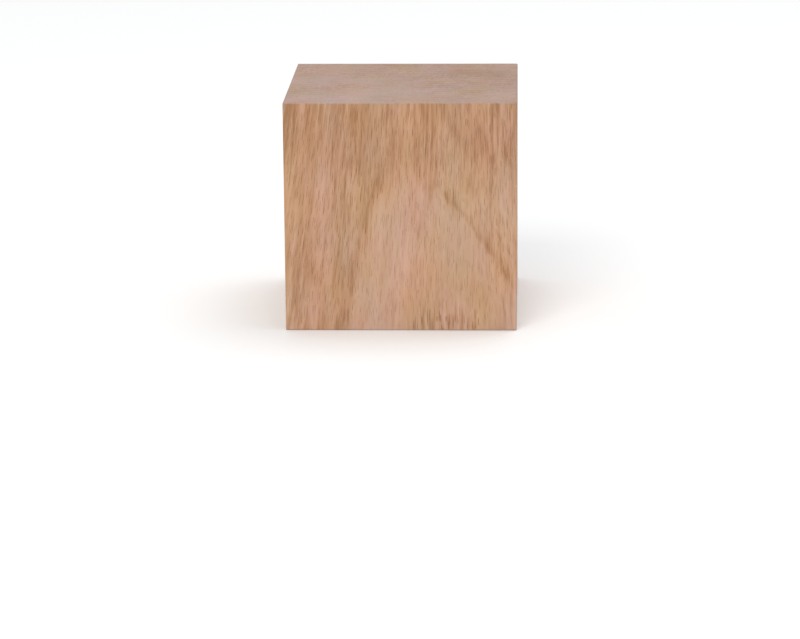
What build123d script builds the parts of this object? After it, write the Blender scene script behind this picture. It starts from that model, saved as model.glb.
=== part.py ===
from build123d import *
import os

# A solid wooden cube. It is crosscut from a planed square stick, and every edge is lightly eased.
# The grain runs along Z. The origin is at the middle of the face that the cube stands on.
# The front, which is the flat-sawn face with the arched figure, looks along -Y.

# Driving sizes, in millimetres
cube_edge = 50.0  # the stick's width and depth, and the length that it is cut to
long_arris_radius = 0.3  # easing of the four edges that run with the grain
end_arris_radius = 0.25  # easing of the eight edges round the two crosscut ends


def planed_stick_section(side, arris_radius):
    """The square section of the stick, centred on Z, with its four long edges eased."""
    with BuildSketch(Plane.XY) as section:
        Rectangle(side, side)
        fillet(section.vertices(), radius=arris_radius)
    return section.sketch


def crosscut(section, length):
    """The block that two square cuts leave, standing on the first cut."""
    return extrude(section, amount=length)


def ease_the_ends(block, arris_radius):
    """The block with the sharp edges round both crosscut ends taken off."""
    ends = block.faces().filter_by(Axis.Z)
    return fillet(ends.edges(), radius=arris_radius)


def make_wooden_cube():
    """The finished cube, as one solid."""
    section = planed_stick_section(cube_edge, long_arris_radius)
    block = crosscut(section, cube_edge)
    return ease_the_ends(block, end_arris_radius)


wooden_cube = make_wooden_cube()
wooden_cube.label = "wooden_cube"

os.makedirs("parts", exist_ok=True)
export_step(wooden_cube, "parts/wooden_cube.step")
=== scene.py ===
import math
import random

import bpy
import numpy as np
from mathutils import Matrix, Vector, noise
from mathutils.geometry import delaunay_2d_cdt


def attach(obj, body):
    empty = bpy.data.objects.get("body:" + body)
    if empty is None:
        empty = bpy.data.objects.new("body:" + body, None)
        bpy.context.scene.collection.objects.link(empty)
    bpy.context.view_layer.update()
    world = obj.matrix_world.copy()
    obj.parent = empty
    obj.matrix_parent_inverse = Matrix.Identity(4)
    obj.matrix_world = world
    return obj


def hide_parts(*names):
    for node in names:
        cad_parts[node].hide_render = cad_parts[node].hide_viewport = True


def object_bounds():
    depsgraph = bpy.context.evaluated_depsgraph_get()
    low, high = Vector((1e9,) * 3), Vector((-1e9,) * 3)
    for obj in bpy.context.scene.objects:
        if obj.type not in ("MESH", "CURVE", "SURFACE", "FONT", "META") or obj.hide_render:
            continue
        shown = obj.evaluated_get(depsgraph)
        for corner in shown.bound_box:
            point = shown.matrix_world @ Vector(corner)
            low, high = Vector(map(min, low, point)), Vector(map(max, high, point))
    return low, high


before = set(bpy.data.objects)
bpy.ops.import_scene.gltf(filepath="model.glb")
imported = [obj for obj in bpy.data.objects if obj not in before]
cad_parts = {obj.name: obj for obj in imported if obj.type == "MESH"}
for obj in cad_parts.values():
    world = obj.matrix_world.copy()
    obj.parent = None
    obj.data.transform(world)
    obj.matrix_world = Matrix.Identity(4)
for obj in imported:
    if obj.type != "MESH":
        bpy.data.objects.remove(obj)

# A solid wooden cube with its grain standing upright, on a pale floor in soft studio light.
# Lengths of the cube are in millimetres, and become metres where its mesh is made. The floor, the
# lights and the camera are placed in metres.
# A range in four numbers is carried onto another one: from the first two onto the last two.

low_at_load, high_at_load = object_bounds()

MM = 0.001
EDGE = (high_at_load.x - low_at_load.x) / MM
HALF = EDGE / 2

random.seed(50)

# The tree that the cube came from

PITH_DISTANCE = 60.0  # from the middle of the tree to the front face, at the reference height
PITH_LEAN = 0.068  # how fast that distance shrinks with the depth below that height
PITH_BOW = 0.001  # how much faster it shrinks with each millimetre of depth, as the stem is bowed
PITH_DRIFT = 0.25  # how fast the middle of the tree drifts to the right with that depth
LEFT_DRIFT = 0.2  # the same for the rings on the left, which stand more upright
LEFT_RANGE = (-18.0, -4.0)  # where the drift changes from the left one to the usual one
PITH_SIDE = 0.6  # where the middle of the tree lies sideways at the reference height
REFERENCE_HEIGHT = 36.0
RING_WIDTH = 2.5
HEART_RING = -1.27  # the oldest wood that the cube holds lies inside this ring
FIBRE_LEAN = 0.075  # how far the fibres lean towards the front with each millimetre upwards
FAN = 0.0032  # how much the fibres spread sideways with each millimetre downwards
FAN_MIDDLE = 15.0  # where they stand upright

# How crowded the open pores are, as shares of the possible ones

USUAL_PORES = 0.55
EARLY_PORES = 0.95
EARLY_PART = 0.35  # share of a ring that is early wood
TONGUE_PORES = 0.4
TONGUE_RINGS = (-0.9, 0.0)  # the rings between which the arch holds a tongue of even wood
HEART_BOLD = 0.55  # share of wide pores in the oldest wood
FOOT_BOLD = 0.6  # share of wide pores at the base where the saw tore the grain
FOOT_HEIGHT = 9.0  # sets how far up from the base the saw tore the grain
FOOT_PATCH = 7.0  # width of one torn patch
FOOT_SHIFT = 3.0  # settles where along the foot the torn patches lie
FOOT_COVER = 0.3  # the higher, the more of the foot is torn


def ring_number(x, y, z):
    """Growth rings counted outwards from the one that draws the arch on the front."""
    below = REFERENCE_HEIGHT - z
    sideways = x - PITH_SIDE - PITH_DRIFT * below
    outwards = PITH_DISTANCE - (PITH_LEAN + PITH_BOW * below) * below + y + HALF
    return (math.hypot(sideways, outwards) - PITH_DISTANCE) / RING_WIDTH


def bold_chance(x, y, z):
    """Share of the possible pores that are wide: many in the oldest wood, some in the torn foot."""
    patch = noise.noise(Vector((x + FOOT_SHIFT, y, 0.0)) / FOOT_PATCH)
    torn = FOOT_HEIGHT * (FOOT_COVER + patch)
    chance = 0.0
    if z < torn:
        chance = FOOT_BOLD * (1 - z / torn)
    if ring_number(x, y, z) < HEART_RING:
        chance = HEART_BOLD
    return chance


def pore_chance(x, y, z):
    """Share of the others that are there. Each ring starts with more of them."""
    ring = ring_number(x, y, z)
    chance = USUAL_PORES
    if ring % 1.0 < EARLY_PART:
        chance = EARLY_PORES
    if TONGUE_RINGS[0] < ring < TONGUE_RINGS[1]:
        chance = TONGUE_PORES
    return chance


# The six sides of the cube

SIDES = {
    "front": {"faces": (0, -1, 0), "across": (1, 0, 0), "up": (0, 0, 1)},
    "right": {"faces": (1, 0, 0), "across": (0, 1, 0), "up": (0, 0, 1)},
    "back": {"faces": (0, 1, 0), "across": (-1, 0, 0), "up": (0, 0, 1)},
    "left": {"faces": (-1, 0, 0), "across": (0, -1, 0), "up": (0, 0, 1)},
    "top": {"faces": (0, 0, 1), "across": (1, 0, 0), "up": (0, 1, 0)},
    "bottom": {"faces": (0, 0, -1), "across": (1, 0, 0), "up": (0, -1, 0)},
}

CENTRE = np.array((0.0, 0.0, HALF))


def on_side(side, flat):
    """Points of the sharp cube, measured from its centre, for flat points of one side."""
    faces = np.array(side["faces"], float)
    across = np.array(side["across"], float)
    up = np.array(side["up"], float)
    flat = np.asarray(flat, float)
    return HALF * faces + flat[:, :1] * across + flat[:, 1:] * up


# The eased edges

ARRIS_RADIUS = 0.27
ARRIS_CHANGE = 0.06
ARRIS_PATCH = 9.0  # length over which the radius changes


def arris_radius(point):
    """Radius of the easing near a point. It wanders a little, as hand sanding leaves it."""
    return ARRIS_RADIUS + ARRIS_CHANGE * noise.noise(Vector(point) / ARRIS_PATCH)


def eased(points):
    """The points moved onto the cube with eased edges, and the way the surface looks there."""
    radius = np.array([arris_radius(point) for point in points])[:, None]
    core = np.clip(points, radius - HALF, HALF - radius)
    looks = points - core
    looks /= np.linalg.norm(looks, axis=1, keepdims=True)
    return core + radius * looks, looks


# Pores that the cuts laid open. A groove is a pore cut lengthwise, a pit is a pore cut across.

RIM = 0.45  # width of the strip along each edge that holds no pores
INNER = HALF - RIM  # half the width of the flat middle of a side, where the pores are cut in
CELL = 0.7  # size of the squares in which the neighbours of a pore are looked for
GAP = 0.13  # smallest gap between two pores

PORE_WIDTHS = (0.10, 0.24, 0.15)  # narrowest, widest and most common
BOLD_WIDTHS = (0.2, 0.36)
BOLD_LENGTHS = (1.4, 4.5)
COMMON_LENGTH = 1.6  # the most common length of a groove, as a multiple of the shortest
STATION_GAP = 2.4  # a groove is bent once in about this length
FEWEST_STATIONS = 3
BLUNTNESS = 4  # the higher, the later a groove narrows towards its tips
GROOVE_DEPTH = 0.35  # as a share of its width
DISC_GAP = 0.3  # a groove takes up a row of discs, about this far apart
PIT_CORNERS = 6
PIT_RADIUS = 0.55  # as a share of the pore's width
PIT_SQUASH = 0.85  # a pit's height as a share of its width
PIT_DEPTH = 1.3  # as a multiple of its radius
TRIES = 12  # for each pore that a side should have

# What the material reads at the bottom of a pore, and turns into how dark it is
USUAL_MARK = 0.5
BOLD_MARK = 1.0

# Sideways wander of the grooves, and the width and height of one bend
SLOW_WANDER = 0.8
SLOW_BEND = (9.0, 24.0)
QUICK_WANDER = 0.12
QUICK_BEND = (3.0, 9.0)
QUICK_SHEET = 20.0  # takes the quick bends from another sheet of the noise than the slow ones

# The most pores that each side gets, and the shortest and longest lengths that they show there
PORES = {
    "front": (900, 1.2, 6.0),
    "right": (430, 5.0, 22.0),
    "back": (850, 1.2, 6.0),
    "left": (430, 5.0, 22.0),
    "top": (1100, 0, 0),
    "bottom": (900, 0, 0),
}
SHEET_STEP = 7.3  # each side takes its wander from another sheet of the noise


class Crowd:
    """Remembers which places of a side are taken, so that no two pores touch."""

    def __init__(self):
        self.cells = {}

    def near(self, u, v):
        column = math.floor(u / CELL)
        row = math.floor(v / CELL)
        for i in (column - 1, column, column + 1):
            for j in (row - 1, row, row + 1):
                yield from self.cells.get((i, j), ())

    def has_room(self, discs):
        for u, v, size in discs:
            if abs(u) + size > INNER - GAP or abs(v) + size > INNER - GAP:
                return False
            for other_u, other_v, other_size in self.near(u, v):
                if math.hypot(u - other_u, v - other_v) < size + other_size + GAP:
                    return False
        return True

    def take(self, discs):
        for u, v, size in discs:
            key = (math.floor(u / CELL), math.floor(v / CELL))
            self.cells.setdefault(key, []).append((u, v, size))


def grain_shift(u, v, sheet):
    """How far the fibres are shifted sideways at one place of a side."""
    slow = noise.noise(Vector((u / SLOW_BEND[0], v / SLOW_BEND[1], sheet)))
    quick = noise.noise(Vector((u / QUICK_BEND[0], v / QUICK_BEND[1], sheet + QUICK_SHEET)))
    return SLOW_WANDER * slow + QUICK_WANDER * quick - FAN * (u - FAN_MIDDLE) * v


def groove(u, v, width, length, sheet, mark):
    """Outline and bottom line of a pore that is cut lengthwise."""
    stations = max(FEWEST_STATIONS, round(length / STATION_GAP))
    home = grain_shift(u, v, sheet)
    left = []
    right = []
    bottom = []
    for i in range(stations):
        share = (i + 1) / (stations + 1) * 2 - 1
        height = v + share * length / 2
        middle = u + grain_shift(u, height, sheet) - home
        half_width = width / 2 * (1 - share**BLUNTNESS)
        left.append((middle - half_width, height))
        right.append((middle + half_width, height))
        bottom.append((middle, height))
    tips = []
    for share in (-1, 1):
        height = v + share * length / 2
        tips.append((u + grain_shift(u, height, sheet) - home, height))
    outline = [tips[0], *right, tips[1], *reversed(left)]
    depth = width * GROOVE_DEPTH
    return {"outline": outline, "bottom": bottom, "tips": tips, "depth": depth, "mark": mark}


def groove_discs(shape, width):
    """A row of discs that covers a groove."""
    line = [shape["tips"][0], *shape["bottom"], shape["tips"][1]]
    discs = []
    for (u0, v0), (u1, v1) in zip(line, line[1:]):
        steps = max(1, round(math.hypot(u1 - u0, v1 - v0) / DISC_GAP))
        for i in range(steps + 1):
            share = i / steps
            discs.append((u0 + (u1 - u0) * share, v0 + (v1 - v0) * share, width / 2))
    return discs


def pit(u, v, size, mark):
    """Outline and bottom of a pore that is cut across."""
    outline = []
    turn = random.uniform(0, math.pi)
    for i in range(PIT_CORNERS):
        angle = turn + i * 2 * math.pi / PIT_CORNERS
        outline.append((u + size * math.cos(angle), v + PIT_SQUASH * size * math.sin(angle)))
    depth = size * PIT_DEPTH
    return {"outline": outline, "bottom": [(u, v)], "tips": [], "depth": depth, "mark": mark}


def pores_of(side, sheet, count, shortest, longest):
    """Pores of one side. Those of an end are pits, and those of the other sides are grooves."""
    crowd = Crowd()
    shapes = []
    tries = 0
    is_end = side["up"][2] == 0
    while len(shapes) < count and tries < count * TRIES:
        tries += 1
        u = random.uniform(-INNER, INNER)
        v = random.uniform(-INNER, INNER)
        x, y, z = on_side(side, [(u, v)])[0] + CENTRE
        bold = not is_end and random.random() < bold_chance(x, y, z)
        if not bold and random.random() > pore_chance(x, y, z):
            continue
        width = random.triangular(*PORE_WIDTHS)
        if bold:
            width = random.uniform(*BOLD_WIDTHS)
        if is_end:
            size = width * PIT_RADIUS
            shape = pit(u, v, size, USUAL_MARK)
            discs = [(u, v, size)]
        else:
            length = random.triangular(shortest, longest, shortest * COMMON_LENGTH)
            if bold:
                length = random.uniform(*BOLD_LENGTHS)
            shape = groove(u, v, width, length, sheet, BOLD_MARK if bold else USUAL_MARK)
            discs = groove_discs(shape, width)
        if not crowd.has_room(discs):
            continue
        crowd.take(discs)
        shapes.append(shape)
    return shapes


# The mesh of one side

BORDER = (0.0, 0.06, 0.13, 0.21, 0.32)  # distances of the outer mesh lines from the edge
MIDDLE_STEPS = 44
TOUCHING = 1e-6  # points closer than this are one point
SAME_PLACE = 0.001  # points on the edges are told apart to this fineness


def ticks():
    """Positions of the mesh lines across a side. They are close together over the eased edges."""
    outer = [offset - HALF for offset in BORDER]
    middle = [-INNER + 2 * INNER * i / MIDDLE_STEPS for i in range(MIDDLE_STEPS + 1)]
    return outer + middle + [-value for value in reversed(outer)]


class SideMesh:
    """Flat points, depths, pore marks and faces of one side."""

    def __init__(self, shapes):
        self.points = []
        self.depths = []
        self.marks = []
        self.faces = []
        rim = self.lay_border()
        self.fill_middle(rim, shapes)

    def add_point(self, place, depth=0.0, mark=0.0):
        self.points.append(tuple(place))
        self.depths.append(depth)
        self.marks.append(mark)
        return len(self.points) - 1

    def lay_border(self):
        """Lays the strips over the eased edges as a grid, and returns the middle's rim in order."""
        lines = ticks()
        count = len(lines)
        inside = range(len(BORDER), count - len(BORDER))
        index = {}
        for i, u in enumerate(lines):
            for j, v in enumerate(lines):
                if i in inside[1:-1] and j in inside[1:-1]:
                    continue
                index[i, j] = self.add_point((u, v))
        for i in range(count - 1):
            for j in range(count - 1):
                if i in inside[:-1] and j in inside[:-1]:
                    continue
                corners = [(i, j), (i + 1, j), (i + 1, j + 1), (i, j + 1)]
                self.faces.append([index[corner] for corner in corners])
        first = inside[0]
        last = inside[-1]
        rim = [index[i, first] for i in range(first, last)]
        rim += [index[last, j] for j in range(first, last)]
        rim += [index[i, last] for i in range(last, first, -1)]
        rim += [index[first, j] for j in range(last, first, -1)]
        return rim

    def fill_middle(self, rim, shapes):
        """Cuts the middle into triangles between its rim and the outlines of the pores."""
        corners = [Vector(self.points[i]) for i in rim]
        edges = [(i, (i + 1) % len(rim)) for i in range(len(rim))]
        sunk = {}

        def add_corner(place, depth, mark):
            corners.append(Vector(place))
            sunk[len(corners) - 1] = (depth, mark)
            return len(corners) - 1

        for shape in shapes:
            loop = [add_corner(place, 0.0, 0.0) for place in shape["outline"]]
            edges += zip(loop, loop[1:] + loop[:1])
            line = [add_corner(place, shape["depth"], shape["mark"]) for place in shape["bottom"]]
            if shape["tips"]:
                line = [loop[0], *line, loop[len(loop) // 2]]
            edges += zip(line, line[1:])

        found, _, triangles, origins, _, _ = delaunay_2d_cdt(corners, edges, [], 0, TOUCHING, True)
        new_index = []
        for place, origin in zip(found, origins):
            home = next((rim[i] for i in origin if i < len(rim)), None)
            if home is None:
                depth, mark = max((sunk[i] for i in origin), default=(0.0, 0.0))
                home = self.add_point(place, depth, mark)
            new_index.append(home)
        self.faces += [[new_index[i] for i in triangle] for triangle in triangles]


# The map of the six sides onto one square picture. The four long-grain sides get more detail across
# the grain than along it, and the two ends get a quarter of the picture each.

MAP_PLACES = {
    "front": (0.0, 0.0, 0.5, 0.25),
    "right": (0.5, 0.0, 0.5, 0.25),
    "back": (0.0, 0.25, 0.5, 0.25),
    "left": (0.5, 0.25, 0.5, 0.25),
    "top": (0.0, 0.5, 0.5, 0.5),
    "bottom": (0.5, 0.5, 0.5, 0.5),
}
MAP_MARGIN = 0.005


def map_place(name, flat):
    """Places on the picture for flat points of one side."""
    left, bottom, width, height = MAP_PLACES[name]
    corner = np.array((left + MAP_MARGIN, bottom + MAP_MARGIN))
    size = np.array((width - 2 * MAP_MARGIN, height - 2 * MAP_MARGIN))
    return corner + (np.asarray(flat) / EDGE + 0.5) * size


# The mesh of the cube


def edge_key(flat_point, sharp_point):
    """The same name for a point on an edge from every side that it belongs to, and none inside."""
    if max(abs(flat_point[0]), abs(flat_point[1])) <= HALF - TOUCHING:
        return None
    return tuple(round(value / SAME_PLACE) for value in sharp_point)


def cube_mesh():
    """The whole cube as one watertight mesh."""
    places = []
    looks = []
    pore_marks = []
    faces = []
    face_maps = []
    shared = {}
    for sheet, (name, side) in enumerate(SIDES.items()):
        mesh = SideMesh(pores_of(side, sheet * SHEET_STEP, *PORES[name]))
        sharp = on_side(side, mesh.points)
        surface, outward = eased(sharp)
        own = []
        for i, point in enumerate(sharp):
            key = edge_key(mesh.points[i], point)
            if key in shared:
                own.append(shared[key])
                continue
            own.append(len(places))
            if key is not None:
                shared[key] = own[-1]
            places.append(surface[i] - mesh.depths[i] * outward[i] + CENTRE)
            looks.append(outward[i])
            pore_marks.append(mesh.marks[i])
        picture = map_place(name, mesh.points)
        for face in mesh.faces:
            faces.append([own[i] for i in face])
            face_maps.append([picture[i] for i in face])
    return np.array(places), np.array(looks), pore_marks, faces, face_maps


def make_cube():
    """The cube's object, with its shading directions, its picture map and its pores marked."""
    places, looks, pore_marks, faces, face_maps = cube_mesh()
    mesh = bpy.data.meshes.new("wooden_cube_detailed")
    mesh.from_pydata((places * MM).tolist(), [], faces)
    mesh.update()

    picture_map = mesh.uv_layers.new(name="OFBake")
    loops = [tuple(place) for face in face_maps for place in face]
    picture_map.data.foreach_set("uv", np.array(loops, dtype=np.float32).ravel())

    pores = mesh.attributes.new("pore", "FLOAT", "POINT")
    pores.data.foreach_set("value", np.array(pore_marks, dtype=np.float32))

    # Flats and eased edges are shaded as the true surface, and the walls of the pores as they lie
    mesh.shade_smooth()
    directions = []
    for polygon in mesh.polygons:
        is_wall = any(pore_marks[i] > 0 for i in polygon.vertices)
        for i in polygon.vertices:
            directions.append(tuple(polygon.normal) if is_wall else tuple(looks[i]))
    mesh.normals_split_custom_set(directions)

    cube = bpy.data.objects.new("wooden_cube_detailed", mesh)
    bpy.context.scene.collection.objects.link(cube)
    return cube


# Building blocks for the materials

# Where a mix node keeps its colours. Its number and vector sockets have the same names.
FIRST_COLOUR = 6
SECOND_COLOUR = 7
MIXED_COLOUR = 2

NOISE_MIDDLE = 0.5  # the noise lies evenly round this


class Web:
    """Adds nodes to a material and links them."""

    def __init__(self, material):
        material.use_nodes = True
        self.nodes = material.node_tree.nodes
        self.links = material.node_tree.links
        self.nodes.clear()

    def put(self, socket, value):
        """Links a socket to another one, or sets its number, vector or colour."""
        if isinstance(value, bpy.types.NodeSocket):
            self.links.new(value, socket)
        elif value is not None:
            socket.default_value = value

    def node(self, kind, **settings):
        made = self.nodes.new(kind)
        for name, value in settings.items():
            setattr(made, name, value)
        return made

    def math(self, operation, first, second=None, third=None, clamp=False):
        made = self.node("ShaderNodeMath", operation=operation, use_clamp=clamp)
        for socket, value in zip(made.inputs, (first, second, third)):
            self.put(socket, value)
        return made.outputs[0]

    def times(self, first, *others):
        """All the values multiplied."""
        for other in others:
            first = self.math("MULTIPLY", first, other)
        return first

    def plus(self, base, value, weight):
        """The base with the weighted value added to it."""
        return self.math("MULTIPLY_ADD", value, weight, base)

    def minus(self, first, second):
        return self.math("SUBTRACT", first, second)

    def over(self, value, length):
        """The value measured in steps of a length."""
        return self.math("DIVIDE", value, length)

    def size_of(self, value):
        return self.math("ABSOLUTE", value)

    def vector(self, operation, first, second=None, third=None, scale=None):
        made = self.node("ShaderNodeVectorMath", operation=operation)
        self.put(made.inputs[0], first)
        self.put(made.inputs[1], second)
        self.put(made.inputs[2], third)
        if scale is not None:
            self.put(made.inputs["Scale"], scale)
        return made.outputs["Value" if operation == "LENGTH" else "Vector"]

    def parts(self, vector):
        made = self.node("ShaderNodeSeparateXYZ")
        self.put(made.inputs[0], vector)
        return made.outputs

    def join(self, x, y, z):
        made = self.node("ShaderNodeCombineXYZ")
        for socket, value in zip(made.inputs, (x, y, z)):
            self.put(socket, value)
        return made.outputs[0]

    def noise(self, where, size=1.0, detail=1.0, roughness=0.5, colour=False):
        """Smooth noise between 0 and 1. The size is about the width of one patch."""
        made = self.node("ShaderNodeTexNoise", noise_dimensions="3D")
        self.put(made.inputs["Vector"], where)
        self.put(made.inputs["Scale"], 1.0 / size)
        self.put(made.inputs["Detail"], detail)
        self.put(made.inputs["Roughness"], roughness)
        return made.outputs["Color" if colour else "Fac"]

    def spots(self, where, size, dimensions="2D"):
        """Distance to the nearest of many scattered points, and chance numbers of that point."""
        made = self.node("ShaderNodeTexVoronoi", voronoi_dimensions=dimensions, feature="F1")
        self.put(made.inputs["Vector"], where)
        self.put(made.inputs["Scale"], 1.0 / size)
        chance = self.node("ShaderNodeSeparateColor")
        self.put(chance.inputs[0], made.outputs["Color"])
        return made.outputs["Distance"], chance.outputs

    def between(self, value, start, end, low=0.0, high=1.0, smooth=True):
        """Carries a range onto another one and stops at its ends."""
        made = self.node("ShaderNodeMapRange", clamp=True)
        made.interpolation_type = "SMOOTHSTEP" if smooth else "LINEAR"
        for name, given in (("Value", value), ("From Min", start), ("From Max", end)):
            self.put(made.inputs[name], given)
        self.put(made.inputs["To Min"], low)
        self.put(made.inputs["To Max"], high)
        return made.outputs["Result"]

    def curve(self, value, stops):
        """A grey curve through the given stops."""
        made = self.node("ShaderNodeValToRGB")
        ramp = made.color_ramp
        ramp.interpolation = "EASE"
        while len(ramp.elements) < len(stops):
            ramp.elements.new(0.5)
        for element, (position, grey) in zip(ramp.elements, stops):
            element.position = position
            element.color = (grey, grey, grey, 1.0)
        self.put(made.inputs[0], value)
        return made.outputs[0]

    def blend(self, share, first, second, kind="MIX"):
        """The first colour, changed by the second one as far as the share says."""
        made = self.node("ShaderNodeMix", data_type="RGBA", blend_type=kind, clamp_factor=True)
        self.put(made.inputs["Factor"], share)
        self.put(made.inputs[FIRST_COLOUR], first)
        self.put(made.inputs[SECOND_COLOUR], second)
        return made.outputs[MIXED_COLOUR]


def colour(red, green, blue):
    return (red, green, blue, 1.0)


# The wood's colours

PALE = colour(0.600, 0.377, 0.257)
BODY = colour(0.520, 0.299, 0.176)
DEEP = colour(0.368, 0.180, 0.082)
PORE = colour(0.210, 0.098, 0.046)
BODY_DARKNESS = 0.5  # the colour is pale at 0, the body's here and deep at 1
# tint of both ends: partly the end grain's own greyer colour, partly painted cool light and sheen
# from above
END_TINT_AND_PAINTED_COOL_LIGHT = colour(0.785, 0.905, 1.18)
TONGUE_TINT = colour(0.995, 1.005, 1.035)
HUE_CHANGE = (0.24, 0.05, 0.5)  # how much red, green and blue wander from patch to patch
HUE_PATCH = (8.0, 18.0)  # across and along the grain, as in the other patches below
HUE_LAYERS = 2.0

# The wander of the fibres

SLOW_PATCH = (9.0, 30.0)
SLOW_SHIFT = 1.2
QUICK_PATCH = (2.6, 11.0)
QUICK_SHIFT_X = 0.1
QUICK_SHIFT_Y = 0.25

# Growth rings

TEETH_PATCH = (1.3, 9.0)  # the fibres give each ring a toothed outline
TEETH_BY_SIDE = (3.0, 9.0, 1.2, 0.3)  # stronger at the tip of the arch than on its flanks
OWN_STRENGTH = (0.0, 1.0, 0.4, 1.0)  # each ring behind the front has its own darkness
FRONT_DEPTH = (4.5, 6.0)  # where the front's rings give way to the rings behind them
QUIET_MIDDLE = 9.0  # the front's rings are faint around here
QUIET_RANGE = (4.0, 13.0, 0.4, 1.0)

# Darkness of the wood through one growth ring, from its start to its end
RING_PROFILE = [
    (0.0, 0.5),
    (0.05, 1.0),
    (0.11, 0.6),
    (0.2, 0.25),
    (0.45, 0.1),
    (0.8, 0.0),
    (0.96, 0.08),
    (1.0, 0.5),
]

# The rings that the front shows are uneven: distances outwards from the arch, and the darkness there
FRONT_RINGS = [
    (-4.0, 0.25),
    (-3.0, 0.15),
    (-0.3, 0.0),
    (0.15, 0.36),
    (0.6, 0.3),
    (0.98, 0.25),
    (1.13, 0.7),
    (1.3, 0.15),
    (1.85, 0.5),
    (2.4, 0.0),
    (3.1, 0.25),
    (3.3, 0.55),
    (3.55, 0.1),
    (4.3, 0.4),
    (4.8, 0.2),
    (6.0, 0.3),
]

# The dark line of the arch, and the tongue of pale even wood inside it

TIP_WIDTH = 3.0  # nearer to the tip than this, the line gets no thinner
ARCH_INSIDE = (-0.8, 0.2)  # distances sideways from the ring, in which the line grows dark
ARCH_OUTSIDE = (2.0, 0.3)  # and pale again
ARCH_FROM_TIP = (2.0, 8.0, 0.1, 1.0)  # the line is faint at the tip
ARCH_TO_RIGHT = (12.0, 24.0, 1.0, 0.35)  # and fades again on its way to the right
TONGUE_OUTSIDE = (0.1, -0.5)  # distances outwards from the ring, where the tongue begins
TONGUE_INSIDE = (-3.4, -2.8)  # and where older wood follows it

# Where the wood changes

END_START = 0.32  # distance from a crosscut end where end grain begins to show
END_FULL = 0.12  # and where nothing else shows
NEAR_CUT = 7.0  # width of the livelier strip beside each crosscut end
NEAR_ARRIS = 8.0  # and beside each long edge
HEART_START = 0.05  # in rings outwards from the heart's ring
HEART_FULL = -0.1
TORN_HEIGHT = (7.0, 1.0)  # from the height where the torn foot begins to where it is at its worst
HIGH_UP = (26.0, 46.0)  # the long sides grow darker between these heights

# Streaks: their width, their length and how many layers of finer noise they hold

BROAD = (2.4, 70.0, 2.0)
MEDIUM = (0.7, 24.0, 2.0)
HATCH = (0.62, 40.0, 0.0)
FINE = (0.24, 8.0, 1.0)
STREAK_ROUGHNESS = 0.55
TRACK_WIDTH = 0.42
TRACK_LENGTH = 45.0
TRACK_LAYERS = 2.0
TRACK_ROUGHNESS = 0.6
PATCH_WIDTH = 17.0
PATCH_LAYERS = 2.0

# How strong the streaks are from place to place

STRENGTH_PATCH = (10.0, 16.0)
STRENGTH_RANGE = (0.3, 0.7, 0.6, 1.5)  # from the noise to the strength
STRENGTH_NEAR_CUT = 0.2
STRENGTH_NEAR_ARRIS = 0.3
STRENGTH_LIMIT = 1.5  # for all but the torn foot
STRENGTH_TORN = 0.75
TONGUE_CALM = -0.35  # change of the strength in the tongue
END_CALM = -0.4  # and on the ends

# Fine pores, too many for the mesh, and rays

PORE_SPACING = 0.46
PORES_ANYWHERE = 0.45  # share of the possible pores that are there
PORES_IN_RINGS = 0.5  # and how much greater it is in the dark of a ring
PORES_IN_HEART = 0.4
PORE_SMALLEST = 0.13  # as a share of the spacing
PORE_CHANGE = 0.16  # how much larger the largest ones are
PORE_CORE = 0.5  # share of a pore's radius that is fully dark
RAY_THICKNESS = 0.16
RAY_LENGTH = 5.0
RAY_HEIGHT = 0.9
RAY_WANDER = 1.5
RAY_EDGE = (0.16, 0.42)  # a ray fades between these distances, measured in its own size
RAY_RARITY = 0.45  # share of the rays that are left out
CUT_PORE_EDGE = (0.05, 0.38)  # marks between which an open pore grows dark
BOLD_PORE_EDGE = (0.5, 0.8)  # and between which it grows darker still

# How much each thing darkens the wood

BASE_DARKNESS = 0.46
RINGS_DARKEN = 0.3
ARCH_DARKENS = 0.22
TONGUE_DARKENS = -0.12
BROAD_DARKENS = 0.65
MEDIUM_DARKENS = 0.35
HATCH_DARKENS = 0.65
FINE_DARKENS = 0.33
TRACK_DARKENS = 0.4
PATCH_DARKENS = 0.8
HIGH_DARKENS = 0.28
END_RANGE = (-HALF, HALF, -0.06, 0.08)  # an end is a little darker on its right
DEPTH_RANGE = (0.0, 45.0, -0.08, 0.08)  # and the wood a little darker towards the back

# How far a pore or a ray takes the colour towards its own

FINE_PORE = 0.27
FINE_PORE_AT_END = -0.15
FINE_PORE_IN_HEART = 0.3
FINE_PORE_NEAR_CUT = 0.12
CUT_PORE = 0.28
CUT_PORE_BOLD = 0.42
RAY = 0.12

# Sheen and relief

DULLNESS = 0.6
DULL_STREAK = 0.3
DULL_PORE = 0.15
DULL_END = 0.08
SHINE = 0.4
SAW_LENGTH = 9.0
SAW_WIDTH = 0.55
RELIEF_LEVEL = 0.5
RELIEF_FINE = 0.5
RELIEF_MEDIUM = 0.4
RELIEF_PORE = -0.8
RELIEF_SAW = 0.8
RELIEF_STRENGTH = 0.55
RELIEF_HEIGHT = 0.05  # how high a relief of 1 stands


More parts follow.
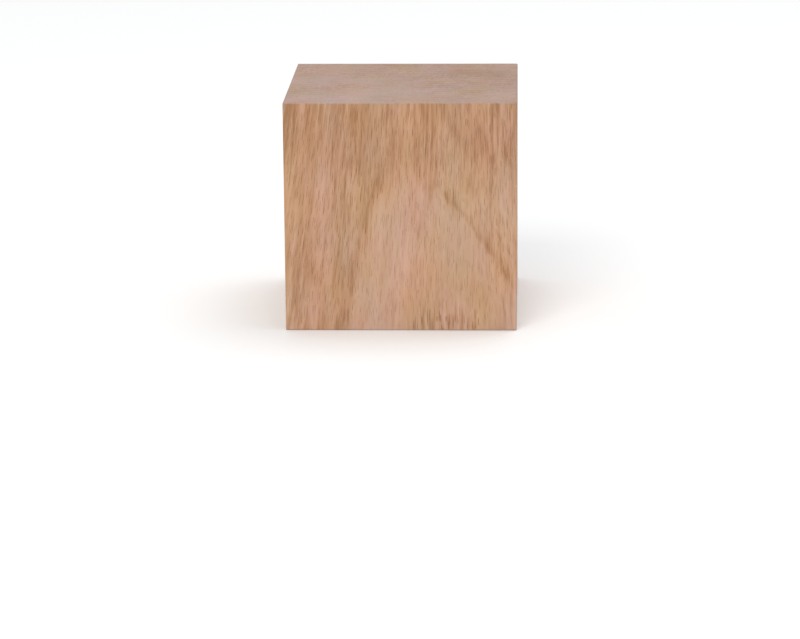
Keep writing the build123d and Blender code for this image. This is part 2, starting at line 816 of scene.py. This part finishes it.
class Wood:
    """The material of the wood. Each method works out what the next ones build on."""

    def __init__(self, name):
        self.material = bpy.data.materials.new(name)
        self.web = Web(self.material)
        place = self.web.node("ShaderNodeTexCoord").outputs["Object"]
        self.place = self.web.vector("SCALE", place, scale=1 / MM)
        self.x, self.y, self.z = self.web.parts(self.place)
        self.lay_fibres()
        self.lay_rings()
        self.find_ends()
        self.draw_rings()
        self.draw_arch()
        self.draw_streaks()
        self.draw_pores()
        self.draw_rays()
        self.set_strength()
        self.shade(self.add_pores_and_rays(self.base_tone(self.darkness())))

    def stretched(self, across, along):
        """The place in patches that are longer along the grain than across it."""
        return self.web.vector("MULTIPLY", self.place, (1 / across, 1 / across, 1 / along))

    def wander(self, patch):
        """Three shifts between -0.5 and 0.5 that change from patch to patch."""
        shifts = self.web.noise(self.stretched(*patch), colour=True)
        return self.web.parts(self.web.vector("SUBTRACT", shifts, (NOISE_MIDDLE,) * 3))

    def lay_fibres(self):
        """The fibres lean with the tree and wander a little on their way up."""
        web = self.web
        self.slow_x, slow_y, _ = self.wander(SLOW_PATCH)
        quick_x, quick_y, _ = self.wander(QUICK_PATCH)
        spread = web.plus(1.0, web.minus(EDGE, self.z), FAN)
        fibre_x = web.over(web.minus(self.x, FAN_MIDDLE), spread)
        fibre_x = web.plus(fibre_x, self.slow_x, SLOW_SHIFT)
        self.fibre_x = web.plus(fibre_x, quick_x, QUICK_SHIFT_X)
        fibre_y = web.plus(self.y, self.z, FIBRE_LEAN)
        fibre_y = web.plus(fibre_y, slow_y, SLOW_SHIFT)
        self.fibre_y = web.plus(fibre_y, quick_y, QUICK_SHIFT_Y)

    def lay_rings(self):
        """Finds how far each place lies outside the ring that draws the arch."""
        web = self.web
        below = web.minus(REFERENCE_HEIGHT, self.z)
        drift = web.between(self.x, *LEFT_RANGE, LEFT_DRIFT, PITH_DRIFT)
        sideways = web.minus(self.x, web.plus(PITH_SIDE, below, drift))
        sideways = web.plus(sideways, self.slow_x, SLOW_SHIFT)
        nearer = web.times(web.plus(PITH_LEAN, below, PITH_BOW), below)
        outwards = web.minus(web.math("ADD", self.y, PITH_DISTANCE + HALF), nearer)
        radius = web.vector("LENGTH", web.join(sideways, outwards, 0.0))
        self.aside = web.size_of(sideways)
        teeth = web.minus(web.noise(self.stretched(*TEETH_PATCH)), NOISE_MIDDLE)
        radius = web.plus(radius, teeth, web.between(self.aside, *TEETH_BY_SIDE))
        self.depth = web.minus(radius, PITH_DISTANCE)
        self.ring = web.over(self.depth, RING_WIDTH)

    def find_ends(self):
        """Finds the crosscut ends, the strips beside the edges, and the heart on the long sides."""
        web = self.web
        from_middle = web.size_of(web.minus(self.z, HALF))
        self.end = web.between(from_middle, HALF - END_START, HALF - END_FULL)
        self.long_side = web.minus(1.0, self.end)
        near_cut = web.between(from_middle, HALF - NEAR_CUT, HALF)
        self.near_cut = web.times(near_cut, self.long_side)
        from_arris = web.math("MINIMUM", web.size_of(self.x), web.size_of(self.y))
        self.near_arris = web.between(from_arris, HALF - NEAR_ARRIS, HALF)
        heart = web.between(self.ring, HEART_RING + HEART_START, HEART_RING + HEART_FULL)
        self.heart = web.times(heart, self.long_side)

    def draw_rings(self):
        """Uneven rings near the front, and even ones of differing strength behind them."""
        web = self.web
        own = web.node("ShaderNodeTexWhiteNoise", noise_dimensions="1D")
        web.put(own.inputs["W"], web.math("FLOOR", self.ring))
        own = web.between(own.outputs["Value"], *OWN_STRENGTH, smooth=False)
        later = web.times(web.curve(web.math("FRACT", self.ring), RING_PROFILE), own)
        start = FRONT_RINGS[0][0]
        stop = FRONT_RINGS[-1][0]
        stops = [((depth - start) / (stop - start), grey) for depth, grey in FRONT_RINGS]
        front = web.curve(web.between(self.depth, start, stop, smooth=False), stops)
        from_quiet = web.size_of(web.minus(self.x, QUIET_MIDDLE))
        front = web.times(front, web.between(from_quiet, *QUIET_RANGE))
        self.rings = web.blend(web.between(self.depth, *FRONT_DEPTH), front, later)

    def draw_arch(self):
        """The arch is a line of even width, measured sideways. The tongue is the wood inside it."""
        web = self.web
        beside = web.times(self.depth, PITH_DISTANCE)
        beside = web.over(beside, web.math("MAXIMUM", self.aside, TIP_WIDTH))
        line = web.times(web.between(beside, *ARCH_INSIDE), web.between(beside, *ARCH_OUTSIDE))
        shown = web.between(self.aside, *ARCH_FROM_TIP)
        shown = web.times(shown, web.between(self.x, *ARCH_TO_RIGHT))
        self.arch = web.times(line, shown)
        outside = web.between(self.depth, *TONGUE_OUTSIDE)
        self.tongue = web.times(outside, web.between(self.depth, *TONGUE_INSIDE))

    def streak(self, width, length, layers):
        """Streaks along the fibres, between -0.5 and 0.5."""
        web = self.web
        across_x = web.over(self.fibre_x, width)
        across_y = web.over(self.fibre_y, width)
        run = web.join(across_x, across_y, web.over(self.z, length))
        return web.minus(web.noise(run, 1.0, layers, STREAK_ROUGHNESS), NOISE_MIDDLE)

    def draw_streaks(self):
        """Streaks of fibres, tracks of planing and sanding along the grain, and broad patches."""
        web = self.web
        self.broad = self.streak(*BROAD)
        self.medium = self.streak(*MEDIUM)
        self.hatch = self.streak(*HATCH)
        self.fine = self.streak(*FINE)
        track = web.over(web.math("ADD", self.fibre_x, self.y), TRACK_WIDTH)
        track = web.join(track, 0.0, web.over(self.z, TRACK_LENGTH))
        track = web.noise(track, 1.0, TRACK_LAYERS, TRACK_ROUGHNESS)
        self.track = web.times(web.minus(track, NOISE_MIDDLE), self.long_side)
        self.patch = web.minus(web.noise(self.place, PATCH_WIDTH, PATCH_LAYERS), NOISE_MIDDLE)

    def draw_pores(self):
        """Fine pores are tubes along the fibres. The mesh's own pores are read from its marks."""
        web = self.web
        tube = web.join(self.fibre_x, self.fibre_y, 0.0)
        distance, chance = web.spots(tube, PORE_SPACING)
        crowded = web.plus(PORES_ANYWHERE, self.rings, PORES_IN_RINGS)
        crowded = web.plus(crowded, self.heart, PORES_IN_HEART)
        there = web.math("LESS_THAN", chance[0], crowded)
        size = web.plus(PORE_SMALLEST, chance[1], PORE_CHANGE)
        outside = web.between(distance, web.times(size, PORE_CORE), size)
        self.pore = web.times(web.minus(1.0, outside), there)
        mark = web.node("ShaderNodeAttribute", attribute_name="pore").outputs["Fac"]
        self.cut_pore = web.between(mark, *CUT_PORE_EDGE)
        self.bold_pore = web.between(mark, *BOLD_PORE_EDGE)

    def draw_rays(self):
        """Rays are thin plates that run from the middle of the tree outwards."""
        web = self.web
        thin = web.over(web.plus(self.x, self.slow_x, RAY_WANDER), RAY_THICKNESS)
        plate = web.join(thin, web.over(self.fibre_y, RAY_LENGTH), web.over(self.z, RAY_HEIGHT))
        distance, chance = web.spots(plate, 1.0, "3D")
        ray = web.minus(1.0, web.between(distance, *RAY_EDGE))
        self.ray = web.times(ray, web.math("GREATER_THAN", chance[0], RAY_RARITY))

    def set_strength(self):
        """Streaks are strong where the saw tore the foot, and calm in the tongue and on the ends."""
        web = self.web
        strength = web.noise(self.stretched(*STRENGTH_PATCH))
        strength = web.between(strength, *STRENGTH_RANGE)
        strength = web.plus(strength, self.near_cut, STRENGTH_NEAR_CUT)
        strength = web.plus(strength, self.near_arris, STRENGTH_NEAR_ARRIS)
        strength = web.math("MINIMUM", strength, STRENGTH_LIMIT)
        strength = web.plus(strength, web.between(self.z, *TORN_HEIGHT), STRENGTH_TORN)
        lively = web.plus(1.0, self.tongue, TONGUE_CALM)
        self.lively = web.plus(lively, self.end, END_CALM)
        self.textured = web.times(self.lively, strength)

    def darkness(self):
        """How dark the wood is before its pores are drawn: 0 is pale and 1 is deep."""
        web = self.web
        high_up = web.times(web.between(self.z, *HIGH_UP), self.long_side)
        dark = web.plus(BASE_DARKNESS, self.rings, RINGS_DARKEN)
        dark = web.plus(dark, self.arch, ARCH_DARKENS)
        dark = web.plus(dark, self.tongue, TONGUE_DARKENS)
        dark = web.plus(dark, web.times(self.broad, self.lively), BROAD_DARKENS)
        dark = web.plus(dark, web.times(self.medium, self.textured), MEDIUM_DARKENS)
        dark = web.plus(dark, web.times(self.hatch, self.textured), HATCH_DARKENS)
        dark = web.plus(dark, web.times(self.fine, self.textured, self.long_side), FINE_DARKENS)
        dark = web.plus(dark, web.times(self.track, self.lively), TRACK_DARKENS)
        dark = web.plus(dark, self.patch, PATCH_DARKENS)
        dark = web.plus(dark, high_up, HIGH_DARKENS)
        dark = web.plus(dark, self.end, web.between(self.x, *END_RANGE))
        return web.math("ADD", dark, web.between(self.depth, *DEPTH_RANGE), clamp=True)

    def base_tone(self, dark):
        """The wood's colour for its darkness, with a slow drift of the hue."""
        web = self.web
        tone = web.blend(web.between(dark, 0.0, BODY_DARKNESS, smooth=False), PALE, BODY)
        tone = web.blend(web.between(dark, BODY_DARKNESS, 1.0, smooth=False), tone, DEEP)
        hue = web.noise(self.stretched(*HUE_PATCH), 1.0, HUE_LAYERS, colour=True)
        hue = web.vector("SUBTRACT", hue, (NOISE_MIDDLE,) * 3)
        hue = web.vector("MULTIPLY_ADD", hue, HUE_CHANGE, (1.0, 1.0, 1.0))
        tone = web.blend(1.0, tone, hue, "MULTIPLY")
        return web.blend(self.tongue, tone, web.blend(1.0, tone, TONGUE_TINT, "MULTIPLY"))

    def add_pores_and_rays(self, tone):
        """The pores and rays over the wood; the ends tinted greyer, partly painted cool light from
        above.
        """
        web = self.web
        depth = web.plus(FINE_PORE, self.end, FINE_PORE_AT_END)
        depth = web.plus(depth, self.heart, FINE_PORE_IN_HEART)
        depth = web.plus(depth, self.near_cut, FINE_PORE_NEAR_CUT)
        tone = web.blend(web.times(self.pore, depth, self.lively), tone, PORE)
        tone = web.blend(web.times(self.ray, RAY), tone, DEEP)
        depth = web.plus(web.times(self.lively, CUT_PORE), self.bold_pore, CUT_PORE_BOLD)
        tone = web.blend(web.times(self.cut_pore, depth), tone, PORE)
        # both ends tinted: partly their own greyer colour, partly painted cool light from above
        return web.blend(self.end, tone, web.blend(1.0, tone, END_TINT_AND_PAINTED_COOL_LIGHT, "MULTIPLY"))

    def relief(self):
        """Fine relief of the fibres and pores, and the saw's marks across the ends."""
        web = self.web
        marks = web.join(web.over(self.x, SAW_LENGTH), web.over(self.y, SAW_WIDTH), 0.0)
        marks = web.times(web.minus(web.noise(marks), NOISE_MIDDLE), self.end)
        height = web.plus(RELIEF_LEVEL, self.fine, RELIEF_FINE)
        height = web.plus(height, self.medium, RELIEF_MEDIUM)
        height = web.plus(height, self.pore, RELIEF_PORE)
        height = web.plus(height, marks, RELIEF_SAW)
        bump = web.node("ShaderNodeBump")
        web.put(bump.inputs["Strength"], RELIEF_STRENGTH)
        web.put(bump.inputs["Distance"], RELIEF_HEIGHT * MM)
        web.put(bump.inputs["Height"], height)
        return bump.outputs["Normal"]

    def shade(self, tone):
        """Puts colour, dullness and relief onto the surface."""
        web = self.web
        dull = web.plus(DULLNESS, self.medium, DULL_STREAK)
        dull = web.plus(dull, self.pore, DULL_PORE)
        dull = web.plus(dull, self.end, DULL_END)
        shader = web.node("ShaderNodeBsdfPrincipled")
        web.put(shader.inputs["Base Color"], tone)
        web.put(shader.inputs["Roughness"], dull)
        web.put(shader.inputs["Normal"], self.relief())
        web.put(shader.inputs["Specular IOR Level"], SHINE)
        output = web.node("ShaderNodeOutputMaterial")
        web.put(output.inputs["Surface"], shader.outputs["BSDF"])


cube = make_cube()
cube.data.materials.append(Wood("wood_upright_grain").material)
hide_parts("wooden_cube")
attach(cube, "root")

# The floor, flat and pale

FLOOR_REACH = 6.0
FLOOR_COLOUR = colour(0.94, 0.94, 0.94)
FLOOR_DULLNESS = 0.9
FLOOR_SHINE = 0.1


def make_floor():
    """A matt floor that reaches far beyond the picture."""
    corners = [(-1, -1), (1, -1), (1, 1), (-1, 1)]
    places = [(FLOOR_REACH * a, FLOOR_REACH * b, 0.0) for a, b in corners]
    mesh = bpy.data.meshes.new("floor")
    mesh.from_pydata(places, [], [(0, 1, 2, 3)])
    floor = bpy.data.objects.new("floor", mesh)
    bpy.context.scene.collection.objects.link(floor)
    material = bpy.data.materials.new("pale_floor")
    web = Web(material)
    shader = web.node("ShaderNodeBsdfPrincipled")
    web.put(shader.inputs["Base Color"], FLOOR_COLOUR)
    web.put(shader.inputs["Roughness"], FLOOR_DULLNESS)
    web.put(shader.inputs["Specular IOR Level"], FLOOR_SHINE)
    output = web.node("ShaderNodeOutputMaterial")
    web.put(output.inputs["Surface"], shader.outputs["BSDF"])
    mesh.materials.append(material)
    return floor


make_floor()

# Light

WHITE = colour(1.0, 1.0, 1.0)
WORLD_STRENGTH = 0.62
BACKDROP_STRENGTH = 1.0  # what the camera sees behind the floor

KEY_PLACE = (-0.4, -1.2, 1.1)
KEY_SIZE = 0.9
KEY_POWER = 9.0
KEY_TINT = (1.0, 0.97, 0.93)
TOP_PLACE = (0.25, 0.3, 1.5)
TOP_SIZE = 1.2
TOP_POWER = 9.5
TOP_TINT = (0.93, 0.97, 1.0)


def background(web, strength):
    made = web.node("ShaderNodeBackground")
    web.put(made.inputs["Color"], WHITE)
    web.put(made.inputs["Strength"], strength)
    return made.outputs[0]


def make_world():
    """Even light from all round, with a white backdrop."""
    world = bpy.data.worlds.new("studio")
    world.use_nodes = True
    web = Web(world)
    path = web.node("ShaderNodeLightPath")
    choice = web.node("ShaderNodeMixShader")
    web.put(choice.inputs[0], path.outputs["Is Camera Ray"])
    web.put(choice.inputs[1], background(web, WORLD_STRENGTH))
    web.put(choice.inputs[2], background(web, BACKDROP_STRENGTH))
    output = web.node("ShaderNodeOutputWorld")
    web.put(output.inputs["Surface"], choice.outputs[0])
    bpy.context.scene.world = world


def soft_light(name, place, size, power, tint):
    """A large soft light that looks at the middle of the cube."""
    lamp = bpy.data.lights.new(name, "AREA")
    lamp.shape = "DISK"
    lamp.size = size
    lamp.energy = power
    lamp.color = tint
    light = bpy.data.objects.new(name, lamp)
    light.location = place
    aim = Vector((0, 0, HALF * MM)) - Vector(place)
    light.rotation_euler = aim.to_track_quat("-Z", "Y").to_euler()
    light.visible_camera = False
    bpy.context.scene.collection.objects.link(light)


make_world()
soft_light("key", KEY_PLACE, KEY_SIZE, KEY_POWER, KEY_TINT)
soft_light("top", TOP_PLACE, TOP_SIZE, TOP_POWER, TOP_TINT)

# The camera stands where the photograph was taken from

FOCAL_LENGTH = 153.8
SENSOR_WIDTH = 36.0
NEAREST = 0.01
FARTHEST = 20.0
CAMERA_PLACE = (0.02797, -0.74267, 0.1803)
CAMERA_TURN = math.radians(2.25)
CAMERA_DIP = math.radians(13.91)
CAMERA_ROLL = math.radians(-0.45)


def make_camera():
    """The camera, dipped towards the cube, turned a little to the left and rolled a little."""
    data = bpy.data.cameras.new("camera")
    data.lens = FOCAL_LENGTH
    data.sensor_width = SENSOR_WIDTH
    data.clip_start = NEAREST
    data.clip_end = FARTHEST
    camera = bpy.data.objects.new("camera", data)
    turn = Matrix.Rotation(CAMERA_TURN, 4, "Z")
    dip = Matrix.Rotation(math.pi / 2 - CAMERA_DIP, 4, "X")
    roll = Matrix.Rotation(CAMERA_ROLL, 4, "Z")
    camera.matrix_world = Matrix.Translation(CAMERA_PLACE) @ turn @ dip @ roll
    bpy.context.scene.collection.objects.link(camera)
    bpy.context.scene.camera = camera


make_camera()
bpy.context.scene.view_settings.view_transform = "Standard"
